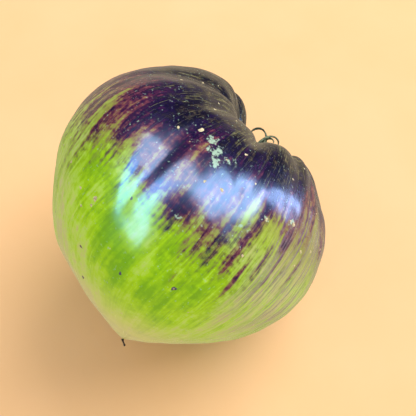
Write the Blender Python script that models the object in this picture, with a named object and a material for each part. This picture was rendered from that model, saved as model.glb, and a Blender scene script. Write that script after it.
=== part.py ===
"""A large heart-shaped tomato lying on its side, with its dried calyx and style.

The fruit is drawn in its own axes: the stem axis is +Z, its blossom-end point is at the
origin, and longitude is counted round the stem axis from +X. LAY_DOWN then turns it on its
side, with the middle of its resting spot at the origin. Lengths are in metres.
"""
from math import acos, atan2, cos, pi, radians, sin

import bmesh
import bpy
import numpy as np
from mathutils import Matrix, Vector

# Control sizes of the fruit's outline, at every 45 degrees of longitude
WIDEST_RADIUS = (0.0372, 0.0420, 0.0430, 0.0475, 0.0495, 0.0508, 0.0445, 0.0350)
CREST_RADIUS = (0.0125, 0.0140, 0.0165, 0.0130, 0.0150, 0.0150, 0.0150, 0.0130)
CREST_HEIGHT = (0.0695, 0.0785, 0.0745, 0.0818, 0.0808, 0.0735, 0.0688, 0.0720)

# Control sizes of the fruit's outline, at every 90 degrees of longitude
WIDEST_HEIGHT = (0.0415, 0.0430, 0.0440, 0.0415)
FLANK_FULLNESS = (0.42, 0.52, 0.34, 0.42)
SHOULDER_FULLNESS = (0.52, 0.50, 0.48, 0.36)
POINT_REACH = (0.52, 0.56, 0.55, 0.545)
POINT_ANGLE = (63, 81, 79, 78)

# The fruit's sizes that are the same all round
CREST_BREADTH = 0.40
MOUTH_BREADTH = 0.80
FLOOR_BREADTH = 0.50
FLOOR_HEIGHT = 0.0615
FRUIT_SIDES, FRUIT_RINGS = 72, 44

# Creases between the ribs: longitude on the crest, drift to the flank and width in degrees, then
# depth on crest and on flank
CREASES = (
    (-150, 3, 11, 0.0030, 0.0012),
    (-120, 10, 9, 0.0024, 0.0012),
    (-94, 9, 7, 0.0028, 0.0008),
    (-64, 16, 9, 0.0026, 0.0012),
    (-28, 8, 10, 0.0024, 0.0010),
    (10, 0, 10, 0.0024, 0.0010),
    (46, 0, 10, 0.0024, 0.0010),
    (90, 0, 10, 0.0024, 0.0010),
    (116, 0, 9, 0.0026, 0.0010),
    (159, 0, 9, 0.0028, 0.0010),
)
CREASE_ROUNDING = 0.3

# How the fruit lies: the lift of its stem end, its turn about the stem axis, and the point of
# its own axes that is the middle of the resting spot
STEM_LIFT = radians(21.0)
SPIN = radians(-71.7)
REST_POINT = Vector((0.0101, 0.0361, 0.0258))

# Calyx
CALYX_GAP = 0.0004
DISC_RADIUS = 0.0028
DISC_THICKNESS = 0.0014
DISC_BEVEL = 0.0006
STUB_RADIUS = 0.0011
STUB_HEIGHT = 0.0032
CALYX_SIDES = 16
SEPAL_ROOT_RADIUS = 0.0022
SEPAL_WIDTH = 0.0022
SEPAL_TIP_WIDTH = 0.0009
SEPAL_THICKNESS = 0.0007
SEPAL_STEPS = 14
SEPAL_SIDES = 6

# Sepals: root longitude, length, first and last angle over the disc, sharpness of the curl
SEPALS = (
    (144, 0.0186, 117, -96, 2.2),
    (-167, 0.0164, 94, 279, 4.0),
    (-39, 0.0140, 118, -80, 3.5),
    (-120, 0.0080, 60, 30, 1.0),
    (-82, 0.0095, 62, 10, 1.5),
    (92, 0.0100, 45, 60, 1.0),
    (30, 0.0105, 40, 65, 1.0),
)

# Style remnant
STYLE_GAP = 0.0005
STYLE_LENGTH = 0.0023
STYLE_RADIUS = 0.00035
STYLE_KNOB_RADIUS = 0.00050
STYLE_LEAN = radians(40)
STYLE_BEND = radians(30)
STYLE_SIDES, STYLE_STEPS = 8, 12

LAY_DOWN = (
    Matrix.Rotation(pi / 2 - STEM_LIFT, 4, "Y")
    @ Matrix.Rotation(SPIN, 4, "Z")
    @ Matrix.Translation(-REST_POINT)
)


def around(values, longitude):
    """Value at a longitude on the smooth closed curve through values at equal steps."""
    waves = np.fft.rfft(values) / len(values)
    total = waves[0].real
    for order in range(1, len(waves)):
        pair = 1 if 2 * order == len(values) else 2
        total += pair * (waves[order] * np.exp(1j * order * longitude)).real
    return float(total)


def spline(points, t):
    """Point at t, from 0 to 1, on the clamped cubic B-spline of these control points."""
    spans = len(points) - 3
    span = min(int(t * spans), spans - 1)
    knots = [min(max(knot - 3, 0), spans) for knot in range(len(points) + 4)]
    column = [point.copy() for point in points[span:span + 4]]
    for level in range(1, 4):
        for row in range(3, level - 1, -1):
            low, high = knots[span + row], knots[span + row + 4 - level]
            column[row] = column[row - 1].lerp(column[row], (t * spans - low) / (high - low))
    return column[3]


def ease(x):
    """0 below 0, 1 above 1, and smooth between."""
    x = min(max(x, 0.0), 1.0)
    return x * x * (3 - 2 * x)


def crease_share(longitude, middle, width):
    """Share of a crease's depth at a longitude, 1 in its middle."""
    away = (longitude - radians(middle) + pi) % (2 * pi) - pi
    return np.exp(CREASE_ROUNDING - np.hypot(away / radians(width), CREASE_ROUNDING))


def crease_depths(longitude):
    """Depth of the creases at a longitude, on the crest and on the flank."""
    crest = flank = 0.0
    for middle, drift, width, crest_depth, flank_depth in CREASES:
        crest += crest_depth * crease_share(longitude, middle, width)
        flank += flank_depth * crease_share(longitude, middle + drift, width)
    return crest, flank


def outline(longitude):
    """Control points of the skin's outline at a longitude, from the point to the hollow's floor."""
    crest_drop, flank_drop = crease_depths(longitude)
    radius = around(WIDEST_RADIUS, longitude)
    widest = around(WIDEST_HEIGHT, longitude)
    crest_radius = around(CREST_RADIUS, longitude)
    crest = around(CREST_HEIGHT, longitude)
    point_reach = around(POINT_REACH, longitude) * radius
    point_angle = radians(around(POINT_ANGLE, longitude))
    crest_edge = crest_radius + CREST_BREADTH * (radius - crest_radius)
    shoulder = widest + around(SHOULDER_FULLNESS, longitude) * (crest - widest)
    return [
        Vector((0, 0)),
        Vector((point_reach * sin(point_angle), point_reach * cos(point_angle))),
        Vector((radius - flank_drop / 2, widest * (1 - around(FLANK_FULLNESS, longitude)))),
        Vector((radius - flank_drop, shoulder)),
        Vector((crest_edge - flank_drop, crest - crest_drop)),
        Vector((MOUTH_BREADTH * crest_radius, crest - crest_drop)),
        Vector((FLOOR_BREADTH * crest_radius, FLOOR_HEIGHT)),
        Vector((0, FLOOR_HEIGHT)),
    ]


def skin_point(longitude, down):
    """Point of the skin; down is 0 in the middle of the hollow and 1 at the point."""
    distance, height = spline(outline(longitude), 1 - down)
    return Vector((distance * cos(longitude), distance * sin(longitude), height))


def stretched_sphere(sides, steps, place):
    """Closed mesh whose vertices are moved to place(longitude, share of the way down)."""
    mesh = bmesh.new()
    bmesh.ops.create_uvsphere(mesh, u_segments=sides, v_segments=steps, radius=1)
    for vertex in mesh.verts:
        down = acos(min(max(vertex.co.z, -1), 1)) / pi
        vertex.co = place(atan2(vertex.co.y, vertex.co.x), down)
    return mesh


def finish_piece(name, mesh, colour, roughness, collection):
    """Turn a bmesh into a smooth object with its own material."""
    bmesh.ops.triangulate(mesh, faces=mesh.faces)
    bmesh.ops.recalc_face_normals(mesh, faces=mesh.faces)
    data = bpy.data.meshes.new(name)
    mesh.to_mesh(data)
    mesh.free()
    data.shade_smooth()
    material = bpy.data.materials.new(name)
    material.use_nodes = True
    shader = material.node_tree.nodes["Principled BSDF"]
    shader.inputs["Base Color"].default_value = (*colour, 1)
    shader.inputs["Roughness"].default_value = roughness
    shader.inputs["Metallic"].default_value = 0
    data.materials.append(material)
    piece = bpy.data.objects.new(name, data)
    collection.objects.link(piece)
    return piece


def make_fruit():
    """The ribbed body with its stem hollow, cut flat where it rests."""
    mesh = stretched_sphere(FRUIT_SIDES, FRUIT_RINGS, skin_point)
    bmesh.ops.transform(mesh, matrix=LAY_DOWN, verts=mesh.verts)
    everything = mesh.verts[:] + mesh.edges[:] + mesh.faces[:]
    cut = bmesh.ops.bisect_plane(
        mesh, geom=everything, plane_co=(0, 0, 0), plane_no=(0, 0, -1), clear_outer=True
    )
    rim = [part for part in cut["geom_cut"] if isinstance(part, bmesh.types.BMEdge)]
    bmesh.ops.contextual_create(mesh, geom=rim)
    green = (0.15, 0.26, 0.03)
    return finish_piece("fruit", mesh, green, 0.25, bpy.context.scene.collection)


def sepal_spine(length, first_angle, last_angle, sharpness):
    """Distances from the stem axis and heights along one sepal's middle line."""
    spine = [Vector((SEPAL_ROOT_RADIUS, FLOOR_HEIGHT + CALYX_GAP + DISC_THICKNESS / 2))]
    for step in range(SEPAL_STEPS):
        share = (step + 0.5) / SEPAL_STEPS
        angle = radians(first_angle + (last_angle - first_angle) * share**sharpness)
        spine.append(spine[-1] + Vector((cos(angle), sin(angle))) * length / SEPAL_STEPS)
    return spine


def make_sepal(root_longitude, length, first_angle, last_angle, sharpness):
    """One curled, tapering blade that springs from the disc."""
    spine = sepal_spine(length, first_angle, last_angle, sharpness)
    outward = Vector((cos(radians(root_longitude)), sin(radians(root_longitude)), 0))
    sideways = Vector((-outward.y, outward.x, 0))

    def place(turn, down):
        step = round(down * SEPAL_STEPS)
        tangent = (spine[min(step + 1, SEPAL_STEPS)] - spine[max(step - 1, 0)]).normalized()
        girth = (1 - (2 * down - 1) ** 8) ** 0.5
        width = SEPAL_WIDTH + (SEPAL_TIP_WIDTH - SEPAL_WIDTH) * down
        across = girth * width / 2 * cos(turn)
        through = girth * SEPAL_THICKNESS / 2 * sin(turn)
        distance = spine[step].x - tangent.y * through
        height = spine[step].y + tangent.x * through
        return outward * distance + sideways * across + Vector((0, 0, height))

    return stretched_sphere(SEPAL_SIDES, SEPAL_STEPS, place)


def make_receptacle():
    """The disc under the sepals with the stub of the stalk on it, turned from one outline."""
    foot = FLOOR_HEIGHT + CALYX_GAP
    outline = (
        (0, foot),
        (0.6 * DISC_RADIUS, foot),
        (DISC_RADIUS, foot + DISC_BEVEL),
        (0.9 * DISC_RADIUS, foot + DISC_THICKNESS),
        (1.2 * STUB_RADIUS, foot + 1.3 * DISC_THICKNESS),
        (STUB_RADIUS, foot + 0.6 * STUB_HEIGHT),
        (1.15 * STUB_RADIUS, foot + 0.95 * STUB_HEIGHT),
        (0, foot + STUB_HEIGHT),
    )
    mesh = bmesh.new()
    corners = [mesh.verts.new((distance, 0, height)) for distance, height in outline]
    sides = [mesh.edges.new(pair) for pair in zip(corners, corners[1:])]
    bmesh.ops.spin(
        mesh, geom=corners + sides, cent=(0, 0, 0), axis=(0, 0, 1),
        angle=2 * pi, steps=CALYX_SIDES, use_merge=True,
    )
    bmesh.ops.remove_doubles(mesh, verts=mesh.verts, dist=1e-6)
    return mesh


def make_calyx():
    """Disc, stalk stub and curled sepals, fused into one dried piece."""
    straw = (0.12, 0.10, 0.05)
    mesh = make_receptacle()
    bmesh.ops.transform(mesh, matrix=LAY_DOWN, verts=mesh.verts)
    calyx = finish_piece("calyx", mesh, straw, 0.75, bpy.context.scene.collection)
    blades = bpy.data.collections.new("sepals")
    bpy.context.scene.collection.children.link(blades)
    for number, sepal in enumerate(SEPALS, 1):
        mesh = make_sepal(*sepal)
        bmesh.ops.transform(mesh, matrix=LAY_DOWN, verts=mesh.verts)
        finish_piece(f"sepal_{number}", mesh, straw, 0.75, blades)
    fuse = calyx.modifiers.new("fuse", "BOOLEAN")
    fuse.operation = "UNION"
    fuse.operand_type = "COLLECTION"
    fuse.collection = blades
    fuse.solver = "MANIFOLD"
    seen = calyx.evaluated_get(bpy.context.evaluated_depsgraph_get())
    fused = bpy.data.meshes.new_from_object(seen)
    calyx.modifiers.clear()
    calyx.data = fused
    for blade in list(blades.objects):
        bpy.data.objects.remove(blade)
    bpy.data.collections.remove(blades)
    return calyx


def make_style():
    """The dried thread at the blossom-end point, leaning and bent to one side, with a small knob."""

    def place(turn, down):
        lean = STYLE_LEAN + STYLE_BEND * down
        radius = STYLE_RADIUS + (STYLE_KNOB_RADIUS - STYLE_RADIUS) * ease((down - 0.6) / 0.4)
        radius *= (1 - (2 * down - 1) ** 8) ** 0.5
        turning_radius = STYLE_LENGTH / STYLE_BEND
        beside = turning_radius * (cos(STYLE_LEAN) - cos(lean)) - radius * cos(lean) * cos(turn)
        below = turning_radius * (sin(lean) - sin(STYLE_LEAN)) + radius * sin(lean) * cos(turn)
        return Vector((beside, radius * sin(turn), -STYLE_GAP - below))

    mesh = stretched_sphere(STYLE_SIDES, STYLE_STEPS, place)
    bmesh.ops.transform(mesh, matrix=LAY_DOWN, verts=mesh.verts)
    brown = (0.02, 0.012, 0.008)
    return finish_piece("style_remnant", mesh, brown, 0.8, bpy.context.scene.collection)


def clear_scene():
    """Remove what the scene holds before the tomato is made."""
    for leftover in list(bpy.data.objects):
        bpy.data.objects.remove(leftover)


clear_scene()
make_fruit()
make_calyx()
make_style()
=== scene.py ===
import math
import random

import bmesh
import bpy
import numpy as np
from mathutils import Matrix, Vector


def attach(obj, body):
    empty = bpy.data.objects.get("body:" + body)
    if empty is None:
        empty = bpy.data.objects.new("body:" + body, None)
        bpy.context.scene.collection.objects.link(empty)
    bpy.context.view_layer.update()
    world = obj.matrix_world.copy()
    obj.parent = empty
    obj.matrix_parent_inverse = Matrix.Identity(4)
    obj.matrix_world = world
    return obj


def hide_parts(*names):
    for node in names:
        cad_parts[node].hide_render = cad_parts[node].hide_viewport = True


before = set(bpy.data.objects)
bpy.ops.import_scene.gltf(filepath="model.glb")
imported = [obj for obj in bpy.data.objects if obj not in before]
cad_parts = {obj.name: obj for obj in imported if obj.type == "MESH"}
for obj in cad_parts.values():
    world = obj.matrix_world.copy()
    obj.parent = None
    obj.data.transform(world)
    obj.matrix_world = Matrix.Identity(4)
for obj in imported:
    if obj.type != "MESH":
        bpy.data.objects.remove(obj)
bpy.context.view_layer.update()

MM = 0.001

# The fruit's form, in its own axes: point at the origin, hollow up +Z, longitude 0 along +X.
WIDEST_RADIUS = (0.0372, 0.0420, 0.0430, 0.0475, 0.0495, 0.0508, 0.0445, 0.0350)
CREST_RADIUS = (0.0125, 0.0140, 0.0165, 0.0130, 0.0150, 0.0150, 0.0150, 0.0130)
CREST_HEIGHT = (0.0695, 0.0785, 0.0745, 0.0818, 0.0808, 0.0735, 0.0688, 0.0720)
WIDEST_HEIGHT = (0.0415, 0.0430, 0.0440, 0.0415)
FLANK_FULLNESS = (0.42, 0.52, 0.34, 0.42)
SHOULDER_FULLNESS = (0.52, 0.50, 0.48, 0.36)
POINT_REACH = (0.52, 0.56, 0.55, 0.545)
POINT_ANGLE = (63, 81, 79, 78)
CREST_BREADTH = 0.40
MOUTH_BREADTH = 0.80
FLOOR_BREADTH = 0.50
FLOOR_HEIGHT = 0.0615
# Each crease: longitude at the crest, its drift to the flank and half width in degrees, drop at the crest
# and on the flank.
CREASES = (
    (-150, 3, 11, 0.0030, 0.0012),
    (-120, 10, 9, 0.0024, 0.0012),
    (-94, 9, 7, 0.0028, 0.0008),
    (-64, 16, 9, 0.0026, 0.0012),
    (-28, 8, 10, 0.0024, 0.0010),
    (10, 0, 10, 0.0024, 0.0010),
    (46, 0, 10, 0.0024, 0.0010),
    (90, 0, 10, 0.0024, 0.0010),
    (116, 0, 9, 0.0026, 0.0010),
    (159, 0, 9, 0.0028, 0.0010),
)
CREASE_ROUNDING = 0.3

# How the fruit lies: the stem axis rises 21 degrees from the table, and the rest point is the origin.
STEM_LIFT = math.radians(21.0)
SPIN = math.radians(-71.7)
REST_POINT = Vector((0.0101, 0.0361, 0.0258))
LAY_DOWN = (
    Matrix.Rotation(math.pi / 2 - STEM_LIFT, 4, "Y")
    @ Matrix.Rotation(SPIN, 4, "Z")
    @ Matrix.Translation(-REST_POINT)
)
TURN = np.array(LAY_DOWN.to_3x3())
SHIFT = np.array(LAY_DOWN.translation)

# The skin's mesh: divisions round the stem axis and along it.
SKIN_SIDES = 360
SKIN_RINGS = 216
# The skin lies this far inside the solid's, so that no lump passes its box, and this far above the table.
SKIN_INSET = 0.23 * MM
TABLE_GAP = 0.02 * MM


def around(values, longitude):
    """A smooth closed curve through values that are equally spaced in longitude."""
    waves = np.fft.rfft(values) / len(values)
    total = np.full(np.shape(longitude), waves[0].real)
    for order in range(1, len(waves)):
        pair = 1 if 2 * order == len(values) else 2
        total = total + pair * (waves[order] * np.exp(1j * order * longitude)).real
    return total


def spline(points, t):
    """A clamped cubic B-spline, evaluated for every column of points at its own t."""
    spans = len(points) - 3
    span = np.minimum((t * spans).astype(int), spans - 1)
    knots = np.clip(np.arange(len(points) + 4) - 3, 0, spans)
    column = [np.take_along_axis(points, (span + step)[None], 0)[0] for step in range(4)]
    for level in range(1, 4):
        for row in range(3, level - 1, -1):
            low = knots[span + row]
            high = knots[span + row + 4 - level]
            share = (t * spans - low) / (high - low)
            column[row] = column[row - 1] + (column[row] - column[row - 1]) * share
    return column[3]


def turned(longitude, middle):
    """How far a longitude is from a middle one, in degrees, between -180 and 180."""
    return (np.degrees(longitude) - middle + 180) % 360 - 180


def crease_share(away):
    """1 in the middle of a crease, less to both sides; away is counted in half widths."""
    return np.exp(CREASE_ROUNDING - np.hypot(away, CREASE_ROUNDING))


def crease_depths(longitude):
    """How far all creases together drop the crest and draw in the flank."""
    crest = np.zeros(np.shape(longitude))
    flank = np.zeros(np.shape(longitude))
    for middle, drift, width, crest_drop, flank_drop in CREASES:
        crest = crest + crest_drop * crease_share(turned(longitude, middle) / width)
        flank = flank + flank_drop * crease_share(turned(longitude, middle + drift) / width)
    return crest, flank


def smooth_skin(longitude, down):
    """Points of the fruit's skin; down runs from 0 in the hollow's middle to 1 at the point."""
    radius = around(WIDEST_RADIUS, longitude)
    crest_radius = around(CREST_RADIUS, longitude)
    crest = around(CREST_HEIGHT, longitude)
    widest = around(WIDEST_HEIGHT, longitude)
    reach = around(POINT_REACH, longitude) * radius
    angle = np.radians(around(POINT_ANGLE, longitude))
    flank = around(FLANK_FULLNESS, longitude)
    shoulder = widest + around(SHOULDER_FULLNESS, longitude) * (crest - widest)
    crest_edge = crest_radius + CREST_BREADTH * (radius - crest_radius)
    crest_drop, flank_drop = crease_depths(longitude)
    none = np.zeros(np.shape(longitude))
    distance = np.array((
        none,
        reach * np.sin(angle),
        radius - flank_drop / 2,
        radius - flank_drop,
        crest_edge - flank_drop,
        MOUTH_BREADTH * crest_radius,
        FLOOR_BREADTH * crest_radius,
        none,
    ))
    height = np.array((
        none,
        reach * np.cos(angle),
        widest * (1 - flank),
        shoulder,
        crest - crest_drop,
        crest - crest_drop,
        none + FLOOR_HEIGHT,
        none + FLOOR_HEIGHT,
    ))
    distance = spline(distance, 1 - down)
    height = spline(height, 1 - down)
    return np.stack((distance * np.cos(longitude), distance * np.sin(longitude), height), -1)


def facing_out(longitude, down):
    """The skin's outward direction at each point."""
    step = 0.002
    down = np.clip(down, 2 * step, 1 - 2 * step)
    along = smooth_skin(longitude, down + step) - smooth_skin(longitude, down - step)
    across = smooth_skin(longitude + step, down) - smooth_skin(longitude - step, down)
    out = np.cross(along, across)
    return out / np.linalg.norm(out, axis=-1, keepdims=True)


def bell(value, middle, width):
    """1 at the middle, dying out smoothly past the half width."""
    return np.exp(-(((value - middle) / width) ** 2))


def fade(value, start, end):
    """0 at start, 1 at end, smooth between."""
    share = np.clip((value - start) / (end - start), 0, 1)
    return share * share * (3 - 2 * share)


def waves_on(points, seed, count, length):
    """A smooth random field on the skin: a sum of plane waves of about one wave length."""
    pick = random.Random(seed)
    total = np.zeros(points.shape[:-1])
    for _ in range(count):
        way = np.array([pick.gauss(0, 1) for _ in range(3)])
        way *= 2 * math.pi / (length * pick.uniform(0.7, 1.5) * np.linalg.norm(way))
        total = total + np.sin(points @ way + pick.uniform(0, 2 * math.pi))
    return total / math.sqrt(count / 2)


# Forms on the skin that are too fine for the solid, in millimetres: the rise of its lumps, ripples and folds,
# the depth of the crease on the flank at its narrow and wide ends, and the rise of the cone under the style.
LUMPS_RISE = 0.16
RIPPLES_RISE = 0.05
FOLDS_RISE = 0.16
CREASE_DEPTHS = (0.50, 0.75)
NUB_RISE = 0.45
# That crease's longitude, its half width at its narrow end and what its wide end adds, in degrees.
CREASE_LONGITUDE = -112.3
CREASE_WIDTH = 2.1
CREASE_SPREAD = 1.3
# The dent where two lobes meet at the crest: longitude, down, half widths in degrees and down, depth in mm.
DENT = (-95, 0.385, 7, 0.060, 0.4)


def relief(longitude, down, points):
    """Height of the fine forms above the smooth skin, in metres."""
    height = LUMPS_RISE * MM * waves_on(points, 3, 24, 0.022)
    height = height + RIPPLES_RISE * MM * waves_on(points, 5, 30, 0.008)
    # Fine folds that run out of the hollow over the shoulder and die out before the widest ring.
    folds = sum(np.sin(order * longitude + order) for order in (17, 23, 31)) / 3
    height = height + FOLDS_RISE * MM * folds * bell(down, 0.30, 0.16)
    # The crease runs down from the shoulder, shifts by a degree and closes to a narrow line on the flank.
    opened = fade(down, 0.74, 0.64)
    crease = bell(turned(longitude, CREASE_LONGITUDE), opened, CREASE_WIDTH + CREASE_SPREAD * opened)
    crease = crease * fade(down, 0.46, 0.56) * fade(down, 0.80, 0.70)
    narrow_depth, wide_depth = CREASE_DEPTHS
    height = height - (narrow_depth + (wide_depth - narrow_depth) * opened) * MM * crease
    middle, low, width, tall, depth = DENT
    return height - depth * MM * bell(turned(longitude, middle), 0, width) * bell(down, low, tall)


def skin_frame(longitude, down):
    """Finished skin points and outward directions, in the row frame."""
    smooth = smooth_skin(longitude, down)
    out = facing_out(longitude, down)
    calm = fade(down, 0.0, 0.04) * fade(down, 1.0, 0.96)
    nub = NUB_RISE * MM * fade(down, 0.975, 1.0)
    lift = (relief(longitude, down, smooth) * calm + nub - SKIN_INSET)[..., None]
    points = (smooth + out * lift) @ TURN.T + SHIFT
    points[..., 2] = np.maximum(points[..., 2], TABLE_GAP)
    return points, out @ TURN.T


def linear(code):
    """An sRGB hex colour as linear RGBA."""
    parts = [int(code[start:start + 2], 16) / 255 for start in (1, 3, 5)]
    return tuple(p / 12.92 if p <= 0.04045 else ((p + 0.055) / 1.055) ** 2.4 for p in parts) + (1.0,)


def node(tree, kind, inputs=(), stops=(), **settings):
    """Adds a shader node, with its settings, its links and, for a ramp, its stops.

    Inputs go by name, or by order. Each is a constant, a hex colour, a node or one of a node's outputs.
    A stop is a place and either a hex colour or the brightness of a grey.
    """
    made = tree.nodes.new("ShaderNode" + kind)
    for name, value in settings.items():
        setattr(made, name, value)
    pairs = inputs.items() if isinstance(inputs, dict) else enumerate(inputs)
    for key, value in pairs:
        named = [socket for socket in made.inputs if socket.enabled and socket.name == key]
        socket = named[0] if named else made.inputs[key]
        if isinstance(value, bpy.types.Node):
            value = next(output for output in value.outputs if output.enabled)
        if isinstance(value, bpy.types.NodeSocket):
            tree.links.new(value, socket)
        else:
            socket.default_value = linear(value) if isinstance(value, str) else value
    for number, (place, colour) in enumerate(stops):
        band = made.color_ramp.elements
        stop = band[number] if number < len(band) else band.new(place)
        stop.position = place
        stop.color = linear(colour) if isinstance(colour, str) else (colour, colour, colour, 1)
    return made


# Settings that many nodes share: a range is passed through smoothly, and what is mixed is colours.
SMOOTH = {"interpolation_type": "SMOOTHSTEP"}
COLOURS = {"data_type": "RGBA"}


def new_material(name):
    """An empty material, with its node tree."""
    material = bpy.data.materials.new(name)
    material.use_nodes = True
    material.node_tree.nodes.clear()
    return material, material.node_tree


def add_object(name, form, material):
    """Turns a bmesh into a smooth piece that rides on the fruit's one body."""
    mesh = bpy.data.meshes.new(name)
    form.to_mesh(mesh)
    form.free()
    for face in mesh.polygons:
        face.use_smooth = True
    mesh.materials.append(material)
    piece = bpy.data.objects.new(name, mesh)
    bpy.context.collection.objects.link(piece)
    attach(piece, "root")
    return piece


def ball_grid(form, sides, rings):
    """Adds a sphere to a bmesh; gives its vertices with their longitudes and distance down, 0 to 1."""
    made = bmesh.ops.create_uvsphere(form, u_segments=sides, v_segments=rings, radius=1.0)["verts"]
    places = np.array([v.co for v in made])
    return made, np.arctan2(places[:, 1], places[:, 0]), np.arccos(np.clip(places[:, 2], -1, 1)) / math.pi


# The fruit's radius at the flank in millimetres, by which a streak's width turns into an angle.
FLANK_RADIUS = 44.0
# Widths of the stain's streaks and sizes of the skin's grains, all in millimetres.
BROAD_STREAK = 4.0
MIDDLE_STREAK = 2.2
NARROW_STREAK = 0.92
HAIR_STREAK = 0.40
CLOUD_SIZE = 6.0
LUMP_SIZE = 4.0
MOTTLE_SIZE = 1.4
PEEL_SIZE = 0.9
CRUST_SIZE = 0.8
# Millimetres between pores. About one in six shows, and they are drawn larger than real ones, to be seen.
PORE_SPACING = 3.2
# Where the purple stain ends on the flank: how far down it reaches, every 30 degrees from -180.
STAIN_EDGE = (0.72, 0.735, 0.70, 0.725, 0.70, 0.62, 0.60, 0.58, 0.60, 0.62, 0.64, 0.68)
# One unit of the stain field is this share of the way down.
STAIN_UNIT = 0.07
# The streaks' swing beside the point, in degrees: how far, about which longitude, and its half width.
STREAK_SWING = 14
SWING_MIDDLE = -135
SWING_WIDTH = 40
# Single stains and gaps: longitude, down, half width in degrees, half width down, strength.
STAINS = (
    (-101, 0.700, 3.0, 0.025, 0.7), (-96, 0.700, 2.5, 0.030, 0.5), (-87, 0.705, 3.0, 0.025, 0.4),
    (-91, 0.750, 1.2, 0.040, 0.3), (-69.5, 0.745, 0.9, 0.035, 1.4), (-58, 0.635, 2.2, 0.022, 1.8),
    (-138.5, 0.620, 1.0, 0.050, -1.2), (-135.5, 0.640, 0.9, 0.040, -1.0), (-80, 0.620, 4.0, 0.060, -1.8),
    (-69, 0.620, 6.0, 0.050, -1.3), (-102, 0.590, 3.0, 0.030, -1.0), (-142, 0.510, 12.0, 0.120, -0.5),
    (-116, 0.530, 7.0, 0.080, 2.0), (-109.5, 0.640, 2.5, 0.060, 1.2), (-40, 0.550, 16.0, 0.120, -1.4),
    (-62, 0.640, 14.0, 0.080, -0.7), (-41, 0.560, 2.2, 0.070, 2.2), (-38, 0.680, 1.8, 0.060, 1.8),
    (-14, 0.585, 4.0, 0.030, 1.2), (-76, 0.700, 1.3, 0.050, 1.1), (-64, 0.700, 1.0, 0.050, 1.1),
    (-55, 0.690, 0.8, 0.060, 1.0), (-47, 0.710, 0.9, 0.060, 1.0), (-110, 0.680, 7.0, 0.030, 0.9),
    (-88.4, 0.797, 0.7, 0.014, 1.6), (-25, 0.620, 9.0, 0.070, -0.8), (-155, 0.580, 14.0, 0.100, -1.2),
    (-50, 0.600, 6.0, 0.050, 0.6),
)
# Pale mint scuffs, partly pale scarred skin and partly a painted highlight where the sheen falls on them,
# with the same five values.
SCUFFS_AND_SHEEN = (
    (-104.5, 0.545, 1.6, 0.012, 1.0), (-100.5, 0.560, 1.3, 0.016, 1.0), (-98.5, 0.585, 1.2, 0.012, 1.1),
    (-96.5, 0.560, 1.0, 0.008, 0.8), (-103.0, 0.570, 0.9, 0.008, 0.8), (-94.0, 0.545, 0.8, 0.006, 0.7),
    (-60.0, 0.590, 1.4, 0.008, 0.8), (-73.5, 0.618, 1.5, 0.006, 0.8), (-97.5, 0.712, 1.3, 0.005, 0.9),
    (-80.5, 0.657, 1.2, 0.006, 0.7), (-77.0, 0.656, 0.7, 0.008, 0.7),
)
# Deeper green patches, and paler ones below 0, with the same five values.
LUSH = (
    (-126, 0.735, 5.0, 0.050, 0.25), (-107, 0.830, 6.0, 0.035, 0.30), (-93, 0.790, 3.5, 0.080, 0.30),
    (-78, 0.800, 6.0, 0.050, 0.30), (-85, 0.860, 5.0, 0.030, 0.20), (-120, 0.870, 9.0, 0.030, -0.20),
    (-104, 0.770, 4.0, 0.030, -0.10), (-60, 0.790, 9.0, 0.070, -0.20), (-135, 0.790, 6.0, 0.030, -0.10),
    (-28, 0.700, 30.0, 0.200, -0.35), (-108, 0.800, 34.0, 0.080, 0.12), (-50, 0.660, 8.0, 0.060, -0.25),
    (-140, 0.860, 12.0, 0.080, -0.40), (-128, 0.930, 22.0, 0.030, -0.40), (-137, 0.700, 10.0, 0.060, -0.15),
    (-113, 0.840, 8.0, 0.030, 0.15), (-96, 0.840, 9.0, 0.035, 0.15), (-112, 0.790, 5.0, 0.030, 0.15),
)


def spotted(spots, longitude, down):
    """The sum of soft elliptical spots."""
    total = np.zeros(np.shape(longitude))
    for middle, low, width, tall, strength in spots:
        total = total + strength * bell(turned(longitude, middle), 0, width) * bell(down, low, tall)
    return total


def streak_turn(longitude, down):
    """Longitude as the streaks follow it: beside the point they swing round towards its far side."""
    swing = fade(down, 0.70, 0.90) * bell(turned(longitude, SWING_MIDDLE), 0, SWING_WIDTH)
    return longitude + np.radians(STREAK_SWING * swing)


def stain_field(longitude, down):
    """How thick the stain is: 0 along its edge on the flank, and above 0 inside it."""
    edge = around(STAIN_EDGE, longitude + math.pi)
    return (edge - down) / STAIN_UNIT + spotted(STAINS, longitude, down)


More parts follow.
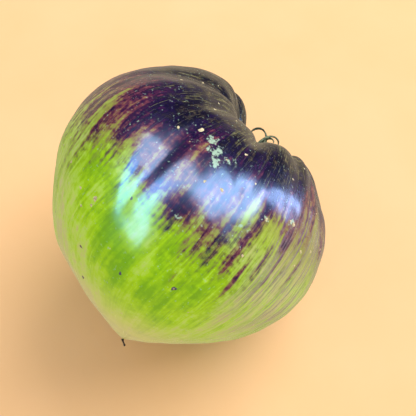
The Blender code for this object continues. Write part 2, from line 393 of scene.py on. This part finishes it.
def skin_material():
    """Waxy tomato skin: glossy lime green under a streaked purple-black stain, with pale scuffs. The scuffs'
    mint, the point's cream and one side's grey veil are partly painted highlight, sheen and reflection.
    """
    material, tree = new_material("waxy_tomato_skin")
    streak = node(tree, "Attribute", attribute_name="streak_axes").outputs["Vector"]
    stain, scuff_and_sheen, lush = [
        node(tree, "Attribute", attribute_name=name).outputs["Fac"] for name in ("stain", "scuff_and_sheen", "lush")
    ]
    axes = node(tree, "SeparateXYZ", {"Vector": streak})
    turn, low = axes.outputs["X"], axes.outputs["Z"]
    place = node(tree, "TexCoord").outputs["Object"]

    def streaks(width, along, detail, seed, roughness=0.6):
        """Noise drawn out along the meridians: its width in mm, and how many streaks fit end to end."""
        scale = FLANK_RADIUS / width
        moved = node(tree, "Mapping", {
            "Vector": streak, "Scale": (scale, scale, along), "Location": (seed, seed, 0),
        })
        return node(tree, "TexNoise", {
            "Vector": moved, "Scale": 1.0, "Detail": detail, "Roughness": roughness,
        })

    def swayed(start, *sways):
        """A value moved by noises, each with its strength."""
        for noise, strength in sways:
            sway = node(tree, "Math", (noise, 0.5), operation="SUBTRACT")
            start = node(tree, "Math", (sway, strength, start), operation="MULTIPLY_ADD")
        return start

    broad = streaks(BROAD_STREAK, 3, 2, 1.0)
    middle = streaks(MIDDLE_STREAK, 7, 3, 5.0)
    narrow = streaks(NARROW_STREAK, 10, 4, 9.0, 0.7)
    hairs = streaks(HAIR_STREAK, 13, 3, 14.0, 0.65)
    mottle = node(tree, "TexNoise", {"Vector": place, "Scale": 1000 / MOTTLE_SIZE, "Detail": 5.0})
    cloud = node(tree, "TexNoise", {"Vector": place, "Scale": 1000 / CLOUD_SIZE, "Detail": 3.0})

    # Green: lush lime with paler streaks, olive on the shoulder and cream towards the point; the cream is
    # partly pale skin and partly a painted reflection of the table.
    wander = swayed(lush, (middle, 1.1), (narrow, 0.65), (mottle, 0.6), (cloud, 1.1))
    green = node(tree, "ValToRGB", {"Fac": wander}, (
        (0.05, "#BECB84"), (0.30, "#B6E05C"), (0.54, "#A6DC00"), (0.76, "#90CC00"), (0.98, "#7ABA00"),
    ))
    olive = node(tree, "MapRange", {
        "Value": low, "From Min": 0.72, "From Max": 0.60, "To Max": 0.80,
    }, **SMOOTH)
    green = node(tree, "Mix", {"Factor": olive, "A": green, "B": "#9C9850"}, **COLOURS)
    # Cream towards the point: pale skin with a painted reflection of the table on it.
    cream_and_table_reflection = node(tree, "MapRange", {
        "Value": low, "From Min": 0.86, "From Max": 0.97, "To Max": 0.75,
    }, **SMOOTH)
    green = node(tree, "Mix", {"Factor": cream_and_table_reflection, "A": green, "B": "#DADA96"}, **COLOURS)

    # Purple: a stain over darker green, thin and maroon at its edge and blue-black where it is thick.
    depth = swayed(stain, (middle, 2.6), (narrow, 2.6), (mottle, 1.6), (cloud, 1.0))
    shade = node(tree, "MapRange", {
        "Value": depth, "From Min": -1.7, "From Max": 0.2, "To Max": 0.45,
    }, **SMOOTH)
    green = node(tree, "Mix", {"Factor": shade, "A": green, "B": "#688C0C"}, **COLOURS)
    cover = node(tree, "MapRange", {"Value": depth, "From Min": -0.50, "From Max": 0.75}, **SMOOTH)
    thick = node(tree, "Math", (stain, 0.19, 0.13), operation="MULTIPLY_ADD")
    thick = swayed(thick, (broad, 1.0), (middle, 0.7), (narrow, 1.0), (mottle, 1.0))
    dark = node(tree, "ValToRGB", {"Fac": thick}, (
        (0.05, "#84744A"), (0.22, "#6A3446"), (0.42, "#34103C"), (0.62, "#160836"), (0.90, "#080220"),
    ))
    colour = node(tree, "Mix", {"Factor": cover, "A": green, "B": dark}, **COLOURS)

    # Olive and tan threads that the stain leaves bare.
    crest = node(tree, "MapRange", {"Value": low, "From Min": 0.58, "From Max": 0.42}, **SMOOTH)
    threads = swayed(hairs, (crest, 0.08), (mottle, 0.25))
    bare = node(tree, "MapRange", {
        "Value": threads, "From Min": 0.55, "From Max": 0.70, "To Max": 0.55,
    }, **SMOOTH)
    patches = node(tree, "MapRange", {"Value": broad, "From Min": 0.40, "From Max": 0.58}, **SMOOTH)
    bare = node(tree, "Math", (bare, patches), operation="MULTIPLY")
    bare = node(tree, "Math", (bare, cover), operation="MULTIPLY")
    thread = node(tree, "Mix", {"Factor": middle, "A": "#6A7A2C", "B": "#968A6C"}, **COLOURS)
    colour = node(tree, "Mix", {"Factor": bare, "A": colour, "B": thread}, **COLOURS)

    # Dull tan wear on the shoulder.
    upper = node(tree, "MapRange", {
        "Value": low, "From Min": 0.66, "From Max": 0.36, "To Max": 0.5,
    }, **SMOOTH)
    rubbed = swayed(narrow, (mottle, 0.8))
    worn = node(tree, "MapRange", {"Value": rubbed, "From Min": 0.52, "From Max": 0.75}, **SMOOTH)
    worn = node(tree, "Math", (worn, upper), operation="MULTIPLY")
    colour = node(tree, "Mix", {"Factor": worn, "A": colour, "B": "#6E6248"}, **COLOURS)

    # A grey-purple veil of fine streaks over the side past the last lobe: partly streaks in the skin, partly
    # a painted sheen on that side.
    side = node(tree, "MapRange", {"Value": turn, "From Min": 0.30, "From Max": 0.58}, **SMOOTH)
    top = node(tree, "MapRange", {"Value": low, "From Min": 0.50, "From Max": 0.58}, **SMOOTH)
    foot = node(tree, "MapRange", {"Value": low, "From Min": 0.88, "From Max": 0.74}, **SMOOTH)
    side = node(tree, "Math", (side, top), operation="MULTIPLY")
    side = node(tree, "Math", (side, foot), operation="MULTIPLY")
    veil_and_sheen = swayed(hairs, (narrow, 1.1), (broad, 0.5))
    veil_and_sheen = node(tree, "MapRange", {
        "Value": veil_and_sheen, "From Min": 0.45, "From Max": 0.60, "To Min": 0.08, "To Max": 0.74,
    }, **SMOOTH)
    veil_and_sheen = node(tree, "Math", (veil_and_sheen, side), operation="MULTIPLY")
    colour = node(tree, "Mix", {"Factor": veil_and_sheen, "A": colour, "B": "#7E6C86"}, **COLOURS)

    # Pale scuffs whose mint colour is partly scarred skin and partly a painted highlight, and pores.
    crumbs = node(tree, "TexNoise", {"Vector": place, "Scale": 1000 / CRUST_SIZE, "Detail": 4.0})
    scuff_and_sheen_edge = swayed(scuff_and_sheen, (crumbs, 2.6))
    scuff_and_sheen_share = node(tree, "MapRange", {
        "Value": scuff_and_sheen_edge, "From Min": 0.30, "From Max": 0.80, "To Max": 0.75,
    }, **SMOOTH)
    # The pale mint is partly scarred skin and partly a painted highlight.
    colour = node(tree, "Mix", {"Factor": scuff_and_sheen_share, "A": colour, "B": "#A9CBB8"}, **COLOURS)
    cell = node(tree, "TexVoronoi", {"Vector": place, "Scale": 1000 / PORE_SPACING})
    draw = node(tree, "SeparateColor", {"Color": cell.outputs["Color"]}).outputs["Red"]
    chosen = node(tree, "MapRange", {"Value": draw, "From Min": 0.82, "From Max": 0.86}, **SMOOTH)
    pore = node(tree, "MapRange", {
        "Value": cell.outputs["Distance"], "From Min": 0.09, "From Max": 0.03, "To Max": 0.4,
    }, **SMOOTH)
    pore = node(tree, "Math", (pore, chosen), operation="MULTIPLY")
    colour = node(tree, "Mix", {"Factor": pore, "A": colour, "B": "#A79E7C"}, **COLOURS)

    # Gloss: wax over shallow lumps and a fine peel, which breaks up the edges of the sheen.
    soft = node(tree, "TexNoise", {"Vector": place, "Scale": 1000 / LUMP_SIZE})
    fine = node(tree, "TexNoise", {"Vector": place, "Scale": 1000 / PEEL_SIZE})
    lumps = node(tree, "Bump", {"Height": soft, "Distance": 0.10 * MM, "Strength": 0.5})
    peel = node(tree, "Bump", {"Height": fine, "Distance": 0.02 * MM, "Strength": 0.7, "Normal": lumps})
    skin = node(tree, "BsdfPrincipled", {
        "Base Color": colour,
        "Roughness": node(tree, "ValToRGB", {"Fac": narrow}, ((0.3, 0.20), (0.7, 0.29))),
        "IOR": 1.45,
        "Normal": peel,
        "Subsurface Weight": 0.06, "Subsurface Radius": (0.9, 1.0, 0.3), "Subsurface Scale": MM,
        "Coat Weight": 0.10, "Coat Roughness": 0.12, "Coat IOR": 1.5,
    })
    node(tree, "OutputMaterial", {"Surface": skin})
    return material


def plain_material(name, dark, light, grain, roughness, gloss=0.5):
    """A dry finish whose colour wanders between two tones at a grain given in millimetres."""
    material, tree = new_material(name)
    place = node(tree, "TexCoord").outputs["Object"]
    noise = node(tree, "TexNoise", {"Vector": place, "Scale": 1000.0 / grain, "Detail": 4.0})
    colour = node(tree, "ValToRGB", {"Fac": noise}, ((0.35, dark), (0.65, light)))
    bump = node(tree, "Bump", {"Height": noise, "Distance": 0.06 * MM, "Strength": 0.8})
    dry = node(tree, "BsdfPrincipled", {
        "Base Color": colour, "Roughness": roughness, "Normal": bump, "Specular IOR Level": gloss,
    })
    node(tree, "OutputMaterial", {"Surface": dry})
    return material


def make_skin():
    """The fruit's skin: a fine sphere drawn onto its form, with the fields that its colours follow."""
    form = bmesh.new()
    axes = form.verts.layers.float_vector.new("streak_axes")
    layers = [form.verts.layers.float.new(name) for name in ("stain", "scuff_and_sheen", "lush")]
    verts, longitude, down = ball_grid(form, SKIN_SIDES, SKIN_RINGS)
    points, _ = skin_frame(longitude, down)
    turns = streak_turn(longitude, down)
    fields = np.stack((
        stain_field(longitude, down),
        spotted(SCUFFS_AND_SHEEN, longitude, down),
        0.5 + spotted(LUSH, longitude, down),
    ), -1)
    for vert, point, turn, low, values in zip(verts, points, turns, down, fields):
        vert.co = point
        vert[axes] = (math.cos(turn), math.sin(turn), low)
        for layer, value in zip(layers, values):
            vert[layer] = value
    bmesh.ops.recalc_face_normals(form, faces=form.faces)
    piece = add_object("tomato_skin", form, skin_material())
    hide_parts("fruit")


# Corky specks on the side that is seen: longitude, down, width in millimetres.
SPECKS = (
    (-109.7, 0.536, 1.7), (-114.7, 0.573, 0.9), (-118.7, 0.423, 0.9), (-151.3, 0.372, 0.8),
    (-93.0, 0.502, 0.9), (-137.0, 0.762, 0.8), (-128.3, 0.782, 0.8), (-121.3, 0.778, 1.3),
    (-122.0, 0.791, 0.8), (-126.0, 0.803, 0.7), (-149.0, 0.753, 0.7), (-85.4, 0.811, 0.9),
    (-92.0, 0.623, 0.9), (-73.3, 0.619, 0.8), (-60.7, 0.590, 0.7), (-58.0, 0.594, 1.2),
    (-43.0, 0.632, 1.0), (-33.0, 0.615, 0.9), (-73.0, 0.699, 0.8), (-24.0, 0.799, 0.9),
)
# Dark marks, with the same three values.
SORES = (
    (-110.9, 0.738, 0.8), (-124.0, 0.857, 1.0), (-104.3, 0.845, 1.0), (-85.4, 0.811, 1.5),
    (-126.0, 0.905, 1.2), (-0.5, 0.659, 0.8), (-148.7, 0.850, 0.7),
)


def make_specks(name, marks, rise_share, material):
    """Small domes with uneven edges that stand a little out of the skin."""
    pick = random.Random(8)
    form = bmesh.new()
    for middle, low, width in marks:
        verts, turn, rise = ball_grid(form, 14, 8)
        point, out = skin_frame(np.radians([middle]), np.array([low]))
        basis = Vector(out[0]).to_track_quat("Z", "Y").to_matrix()
        stretch = pick.uniform(0.75, 1.3)
        for vert, angle, share in zip(verts, turn, rise):
            uneven = 1 + 0.16 * math.sin(3 * angle + middle) + 0.1 * math.sin(5 * angle + low * 40)
            edge = width / 2 * MM * uneven
            dome = Vector((edge * stretch * math.cos(angle) * math.sin(math.pi * share),
                           edge / stretch * math.sin(angle) * math.sin(math.pi * share),
                           width * MM * (rise_share * math.cos(math.pi * share) - 0.05)))
            vert.co = Vector(point[0]) + basis @ dome
    add_object(name, form, material)


def scattered(seed, count):
    """Specks strewn over the whole skin: longitude, down, width in millimetres."""
    pick = random.Random(seed)
    return tuple(
        (pick.uniform(-180, 180), pick.uniform(0.3, 0.93), pick.uniform(0.35, 0.8)) for _ in range(count)
    )


# The calyx's disc and the stub of the stalk, in metres: radius, height of the middle and half thickness.
DISC_RADIUS = 0.0026
DISC_MIDDLE = FLOOR_HEIGHT + 0.0011
DISC_HALF = 0.0007
STUB_RADIUS = 0.00105
STUB_MIDDLE = FLOOR_HEIGHT + 0.0026
STUB_HALF = 0.0016
# A sepal, in metres: how far out its spine starts, its half width at root and tip, and its half thickness.
SEPAL_ROOT_RADIUS = 0.0022
SEPAL_ROOT_HALF = 0.0011
SEPAL_TIP_HALF = 0.00045
SEPAL_THICK_HALF = 0.00022
# How hollow a sepal is, as a share of its half width, its share of the listed length, and its rings.
SEPAL_CURL = 0.35
SEPAL_SHARE = 0.98
SEPAL_STEPS = 60
# Each sepal: root longitude, length, first and last angle of its spine, how late it bends.
SEPALS = (
    (144, 0.0186, 117, -96, 2.2), (-167, 0.0164, 94, 279, 4.0), (-39, 0.0140, 118, -80, 3.5),
    (-120, 0.0080, 60, 30, 1.0), (-82, 0.0095, 62, 10, 1.5), (92, 0.0100, 45, 60, 1.0),
    (30, 0.0105, 40, 65, 1.0),
)


def spine_points(length, first, last, sharpness):
    """Distance out and height of a sepal's spine, with its direction, from root to tip."""
    out, up = SEPAL_ROOT_RADIUS, DISC_MIDDLE
    rows = []
    for index in range(SEPAL_STEPS + 1):
        share = index / SEPAL_STEPS
        angle = math.radians(first + (last - first) * share ** sharpness)
        rows.append((out, up, angle))
        out += length / SEPAL_STEPS * math.cos(angle)
        up += length / SEPAL_STEPS * math.sin(angle)
    return rows


def add_sepal(form, root, length, first, last, sharpness):
    """A thin blade, hollow on its upper side, drawn out of a sphere along its spine."""
    rows = spine_points(length * SEPAL_SHARE, first, last, sharpness)
    verts, turn, rise = ball_grid(form, 12, SEPAL_STEPS)
    side = Vector((-math.sin(math.radians(root)), math.cos(math.radians(root)), 0))
    away = Vector((math.cos(math.radians(root)), math.sin(math.radians(root)), 0))
    for vert, angle, share in zip(verts, turn, rise):
        out, up, lean = rows[min(int(round(share * SEPAL_STEPS)), SEPAL_STEPS)]
        girth = max(1 - (2 * share - 1) ** 8, 0) ** 0.5
        half = (SEPAL_ROOT_HALF + (SEPAL_TIP_HALF - SEPAL_ROOT_HALF) * share) * girth
        thick = SEPAL_THICK_HALF * girth
        curl = SEPAL_CURL * math.cos(angle) ** 2
        over = away * -math.sin(lean) + Vector((0, 0, math.cos(lean)))
        middle = away * out + Vector((0, 0, up))
        place = middle + side * half * math.cos(angle) + over * (thick * math.sin(angle) + curl * half)
        vert.co = LAY_DOWN @ place


def add_knob(form, sides, radius, bulge, uneven, middle, half):
    """A rounded drum on the stem axis: the disc under the sepals or the stub of the stalk."""
    verts, turn, rise = ball_grid(form, sides, 12)
    for vert, angle, share in zip(verts, turn, rise):
        span = radius * math.sin(math.pi * share) ** bulge * (1 + uneven * math.sin(5 * angle))
        height = middle + half * math.cos(math.pi * share)
        vert.co = LAY_DOWN @ Vector((span * math.cos(angle), span * math.sin(angle), height))


def make_calyx():
    """The dried star in the hollow: seven curled sepals on a disc, with the stub of the stalk."""
    form = bmesh.new()
    for sepal in SEPALS:
        add_sepal(form, *sepal)
    add_knob(form, 24, DISC_RADIUS, 0.6, 0.0, DISC_MIDDLE, DISC_HALF)
    add_knob(form, 16, STUB_RADIUS, 0.4, 0.08, STUB_MIDDLE, STUB_HALF)
    # Dried leaf: matt and grey-green, mottled where its veins dried unevenly.
    dry = plain_material("dried_sepal", "#3E4A34", "#828A68", 0.7, 0.8, 0.15)
    piece = add_object("dried_calyx", form, dry)
    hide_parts("calyx")


# The style: lean and bend in radians, then length, radius and how far past the smooth point it starts, in
# metres, which is just inside the skin's cone.
STYLE_LEAN = math.radians(40)
STYLE_BEND = math.radians(30)
STYLE_LENGTH = 0.0023
STYLE_RADIUS = 0.00022
STYLE_START = 0.0002


def make_style():
    """The dried thread at the point: a shrivelled stem, a small knob at its end and a cone at its root."""
    form = bmesh.new()
    verts, turn, rise = ball_grid(form, 16, 48)
    for vert, angle, share in zip(verts, turn, rise):
        lean = STYLE_LEAN + STYLE_BEND * share
        knob = bell(share, 0.90, 0.10)
        root = bell(share, 0.0, 0.20)
        girth = STYLE_RADIUS * (1 + 0.5 * knob + 1.3 * root + 0.12 * math.sin(3 * angle + 9 * share))
        girth *= max(1 - (2 * share - 1) ** 10, 0) ** 0.5
        swing = STYLE_LENGTH / STYLE_BEND
        beside = swing * (math.cos(STYLE_LEAN) - math.cos(lean)) - girth * math.cos(lean) * math.cos(angle)
        below = swing * (math.sin(lean) - math.sin(STYLE_LEAN)) + girth * math.sin(lean) * math.cos(angle)
        vert.co = LAY_DOWN @ Vector((beside, girth * math.sin(angle), -STYLE_START - below))
    # Dried stem tissue: nearly black, with no gloss at all.
    dry = plain_material("dried_style", "#1C1006", "#4A3018", 0.3, 0.8, 0.1)
    piece = add_object("dried_style", form, dry)
    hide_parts("style_remnant")


make_skin()
# Cork: a dry, pale tan crust that takes the gloss off the skin.
cork = plain_material("corky_speck", "#9C8C68", "#D8CEA8", 0.4, 0.8, 0.2)
make_specks("corky_specks", SPECKS + scattered(8, 60), 0.13, cork)
# A healed sore: dark brown, shrunken skin, a little glossier than cork.
sore = plain_material("dried_sore", "#2A140C", "#5A3A28", 0.4, 0.7)
make_specks("dark_marks", SORES, 0.09, sore)
make_calyx()
make_style()

# The floor: a plain pale table top. The gloss sees the room's lower half in its place.
floor_form = bmesh.new()
bmesh.ops.create_grid(floor_form, x_segments=1, y_segments=1, size=1.5)
floor_mesh = bpy.data.meshes.new("floor")
floor_form.to_mesh(floor_mesh)
floor_form.free()
floor_mesh.materials.append(plain_material("pale_table", "#E2B88C", "#E6BC92", 60.0, 0.9, 0.0))
floor = bpy.data.objects.new("floor", floor_mesh)
floor.visible_glossy = False
bpy.context.collection.objects.link(floor)

# Light: a pale room, one soft neutral light, and cool panels that only give the gloss its sheen.
world = bpy.data.worlds.new("room")
bpy.context.scene.world = world
world.use_nodes = True
sky = world.node_tree
room = sky.nodes["Background"]
in_gloss = node(sky, "LightPath").outputs["Is Glossy Ray"]
direction = node(sky, "TexCoord").outputs["Generated"]
rise = node(sky, "SeparateXYZ", {"Vector": direction}).outputs["Z"]
# The gloss sees a nearly dark room above the horizon and the glow of the table below it.
ROOM_GLOW = 0.95
DARK_GLOW = 0.06
TABLE_GLOW = 0.60
below = node(sky, "MapRange", {"Value": rise, "From Min": 0.0, "From Max": -0.30}, **SMOOTH)
tint = node(sky, "Mix", {"Factor": below, "A": "#F2EEE2", "B": "#FAE4BC"}, **COLOURS)
sky.links.new(tint.outputs[2], room.inputs["Color"])
seen = node(sky, "MapRange", {
    "Value": rise, "From Min": 0.0, "From Max": -0.30, "To Min": DARK_GLOW, "To Max": TABLE_GLOW,
}, **SMOOTH)
glow = node(sky, "Mix", {"Factor": in_gloss, "A": ROOM_GLOW, "B": seen})
sky.links.new(glow.outputs[0], room.inputs["Strength"])


def light_panel(name, place, aim, size, colour, glow, on_gloss):
    """A rectangular light that faces its aim; it lights either glossy reflections or everything else."""
    lamp = bpy.data.lights.new(name, "AREA")
    lamp.shape = "RECTANGLE"
    lamp.size, lamp.size_y = size
    lamp.energy = glow * math.pi * lamp.size * lamp.size_y
    lamp.color = linear(colour)[:3]
    made = bpy.data.objects.new(name, lamp)
    made.location = place
    made.rotation_euler = (Vector(aim) - Vector(place)).to_track_quat("-Z", "Y").to_euler()
    made.visible_diffuse = not on_gloss
    made.visible_glossy = on_gloss
    made.visible_camera = False
    bpy.context.collection.objects.link(made)


PANEL_HEIGHT = 1.5


def overhead_sheen(name, left, right, near, far, colour, glow):
    """A level panel over the table, its edges in units of its height from the place above the fruit."""
    place = ((left + right) / 2 * PANEL_HEIGHT, (near + far) / 2 * PANEL_HEIGHT, PANEL_HEIGHT)
    size = ((right - left) * PANEL_HEIGHT, (far - near) * PANEL_HEIGHT)
    light_panel(name, place, (place[0], place[1], 0), size, colour, glow, True)


overhead_sheen("sky_left", -3.0, -0.10, -0.14, 0.42, "#6CB8FF", 25.0)
overhead_sheen("sky_middle", -0.10, 0.42, -0.45, 0.38, "#A0C4E8", 20.0)
overhead_sheen("sky_near", -0.10, 1.10, -1.10, -0.45, "#9AC6F6", 27.0)
overhead_sheen("sky_behind", -0.20, 2.30, -2.20, -1.10, "#9AC6F6", 27.0)

# A narrow upright panel past the right edge of the picture gives the last lobe its sheen.
WINDOW_SIDE = math.radians(-39)
WINDOW_AWAY = 0.60
WINDOW_HEIGHT = 0.105
window_place = (WINDOW_AWAY * math.cos(WINDOW_SIDE), WINDOW_AWAY * math.sin(WINDOW_SIDE), WINDOW_HEIGHT)
light_panel("window", window_place, (0, 0, WINDOW_HEIGHT), (0.08, 0.43), "#A0C0FF", 22.0, True)

# The soft light that shapes everything but the gloss.
light_panel("soft_light", (1.3, -0.4, 1.5), (0, 0, 0.04), (2.0, 1.8), "#FFFAF2", 4.6, False)

# Camera: at the photo's angle, with the small shift that sets the fruit where the photo has it, in pixels.
AIM = Vector((-0.0002, -0.0018, 0.0401))
TOWARD_CAMERA = Vector((-0.3893, -0.3137, 0.8660))
CAMERA_AWAY = 0.170
PICTURE_SIDE = 416
SHIFT_RIGHT = 4.29
SHIFT_UP = 18.78
camera_data = bpy.data.cameras.new("photo_camera")
camera_data.lens = 50.0
camera_data.sensor_width = 36.0
camera_data.shift_x = SHIFT_RIGHT / PICTURE_SIDE
camera_data.shift_y = SHIFT_UP / PICTURE_SIDE
camera = bpy.data.objects.new("photo_camera", camera_data)
camera.location = AIM + CAMERA_AWAY * TOWARD_CAMERA
camera.rotation_euler = (-TOWARD_CAMERA).to_track_quat("-Z", "Y").to_euler()
bpy.context.collection.objects.link(camera)
bpy.context.scene.camera = camera
bpy.context.scene.view_settings.view_transform = "Standard"
